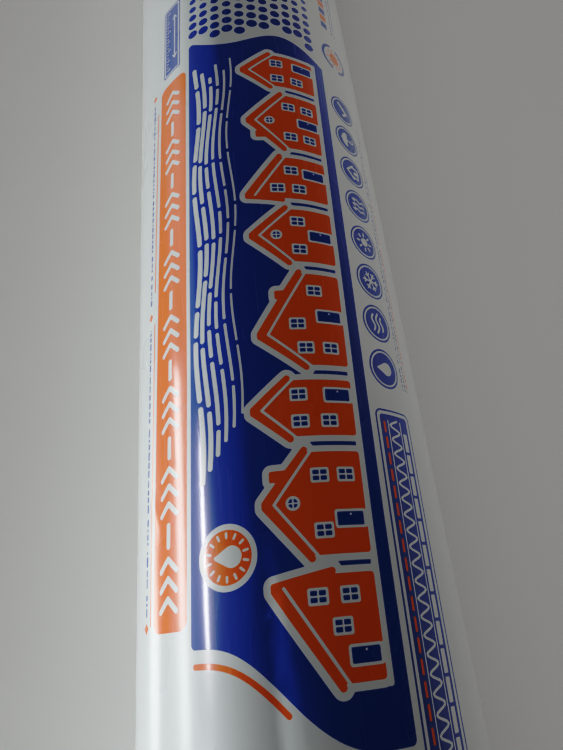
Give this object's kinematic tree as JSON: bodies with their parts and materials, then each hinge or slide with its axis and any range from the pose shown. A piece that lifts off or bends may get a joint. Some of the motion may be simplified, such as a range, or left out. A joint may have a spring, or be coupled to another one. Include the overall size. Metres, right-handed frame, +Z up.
{
  "type": "roll of breathable building membrane",
  "caption": "Long wound roll of breathable wind and moisture barrier membrane with an open bore, in a glossy printed wrapping film, lying on its side.",
  "frame": {"origin": "on the floor, under the middle of the roll as it lies", "axes": "+Y along the roll's axis and bore, +Z up, +X across the roll"},
  "size_m": [0.15, 1.6, 0.15],
  "materials": {
    "membrane": "matt white spun nonwoven, wound tight",
    "film": "glossy white polyethylene film printed in deep blue and orange"
  },
  "bodies": {
    "root": {"membrane_roll": "membrane", "wrapper_film": "film"}
  },
  "joints": []
}
